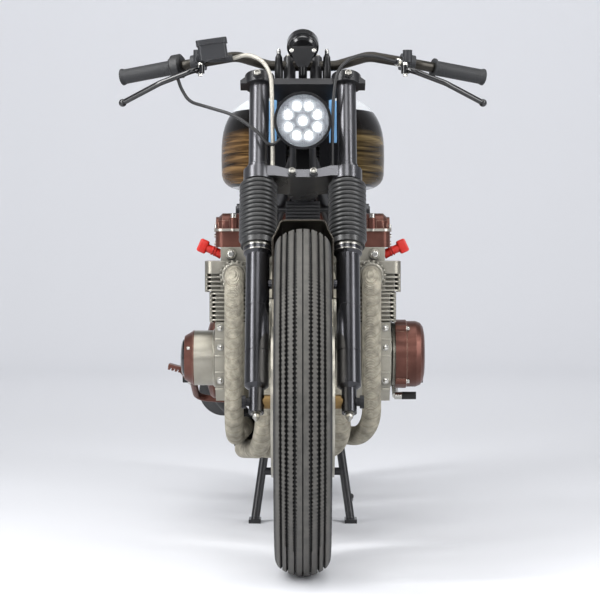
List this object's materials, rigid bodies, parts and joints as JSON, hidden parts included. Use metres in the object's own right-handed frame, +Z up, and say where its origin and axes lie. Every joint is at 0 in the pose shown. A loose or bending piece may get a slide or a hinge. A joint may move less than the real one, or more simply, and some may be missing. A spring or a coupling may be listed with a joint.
{
  "type": "brat style motorcycle",
  "caption": "Low custom road motorcycle on its centre stand, with flat bars, a small round lamp, gaitered fork, finned engine, wrapped exhaust and flat seat; wheels roll and the bars steer.",
  "frame": {"origin": "on the floor, midway between the outer ends of the two tyres, on the motorcycle's middle plane", "axes": "+X to the rider's left, +Y towards the rear wheel, +Z up"},
  "size_m": [0.7904, 2.1199, 1.101],
  "materials": {
    "frame_black": "satin black paint",
    "fork_charcoal": "satin charcoal coat",
    "steel": "plain steel",
    "dark_steel": "oiled steel",
    "cast_alloy": "bare cast alloy",
    "bronze": "metallic bronze coat",
    "gloss_black": "gloss black",
    "plug_red": "red moulded rubber",
    "wrap": "woven heat wrap",
    "silencer_black": "matt black heat paint",
    "black_rubber": "matt rubber",
    "tank_white": "gloss pale silver",
    "chrome": "polished",
    "seat_leather": "dark brown leather",
    "lamp_red": "clear red plastic",
    "brass": "turned brass",
    "lens": "clear",
    "grip_rubber": "ribbed rubber",
    "black_plastic": "moulded",
    "tyre": "road rubber"
  },
  "bodies": {
    "chassis": {"frame": "frame_black", "swingarm": "frame_black", "rear_axle": "steel", "rear_shocks": "frame_black", "rear_brake_plate": "cast_alloy", "crankcase": "cast_alloy", "cylinder_block": "cast_alloy", "cylinder_head": "cast_alloy", "valve_cover": "bronze", "alternator_cover": "bronze", "ignition_cover": "bronze", "ignition_cap": "gloss_black", "gearbox_covers": "bronze", "spark_plug_caps": "plug_red", "exhaust_collars": "cast_alloy", "header_pipes": "wrap", "silencer": "silencer_black", "carburettors": "cast_alloy", "air_filters": "black_rubber", "fuel_tank": "tank_white", "fuel_cap": "chrome", "seat": "seat_leather", "rear_mudguard": "frame_black", "tail_lamp": "lamp_red", "battery_box": "frame_black", "regulator": "frame_black", "footpegs": "black_rubber", "brake_pedal": "bronze", "gear_lever": "steel", "drive_chain": "dark_steel"},
    "steering": {"lower_yoke": "fork_charcoal", "upper_yoke": "fork_charcoal", "fork_uppers": "fork_charcoal", "fork_gaiters": "black_rubber", "fork_sliders": "fork_charcoal", "front_axle": "brass", "front_mudguard": "frame_black", "brake_calipers": "cast_alloy", "headlamp_shell": "gloss_black", "headlamp_reflector": "chrome", "headlamp_lens": "lens", "speedometer": "gloss_black", "marker_lamps": "black_plastic", "handlebar": "fork_charcoal", "grips": "grip_rubber", "levers": "gloss_black", "brake_master_cylinder": "fork_charcoal", "clutch_perch": "fork_charcoal", "throttle_housing": "black_plastic", "brake_hose": "black_rubber", "control_cables": "black_rubber"},
    "front_wheel": {"front_tyre": "tyre", "front_rim": "frame_black", "front_hub": "cast_alloy", "front_discs": "steel"},
    "rear_wheel": {"rear_tyre": "tyre", "rear_rim": "frame_black", "rear_hub": "cast_alloy", "rear_sprocket": "dark_steel"},
    "centre_stand": {"centre_stand": "frame_black"}
  },
  "joints": [
    {"name": "steering_turn", "type": "hinge", "parent": "chassis", "child": "steering", "pos_m": [0, -0.671, 0.31503], "axis": [0, 0.454, 0.891], "range_deg": [-30, 30]},
    {"name": "front_wheel_spin", "type": "hinge", "parent": "steering", "child": "front_wheel", "pos_m": [0, -0.72, 0.34], "axis": [1, 0, 0], "continuous": true},
    {"name": "rear_wheel_spin", "type": "hinge", "parent": "chassis", "child": "rear_wheel", "pos_m": [0, 0.73, 0.342], "axis": [1, 0, 0], "continuous": true},
    {"name": "stand_fold", "type": "hinge", "parent": "chassis", "child": "centre_stand", "pos_m": [0, 0.16, 0.243], "axis": [1, 0, 0], "range_deg": [0, 80]}
  ]
}
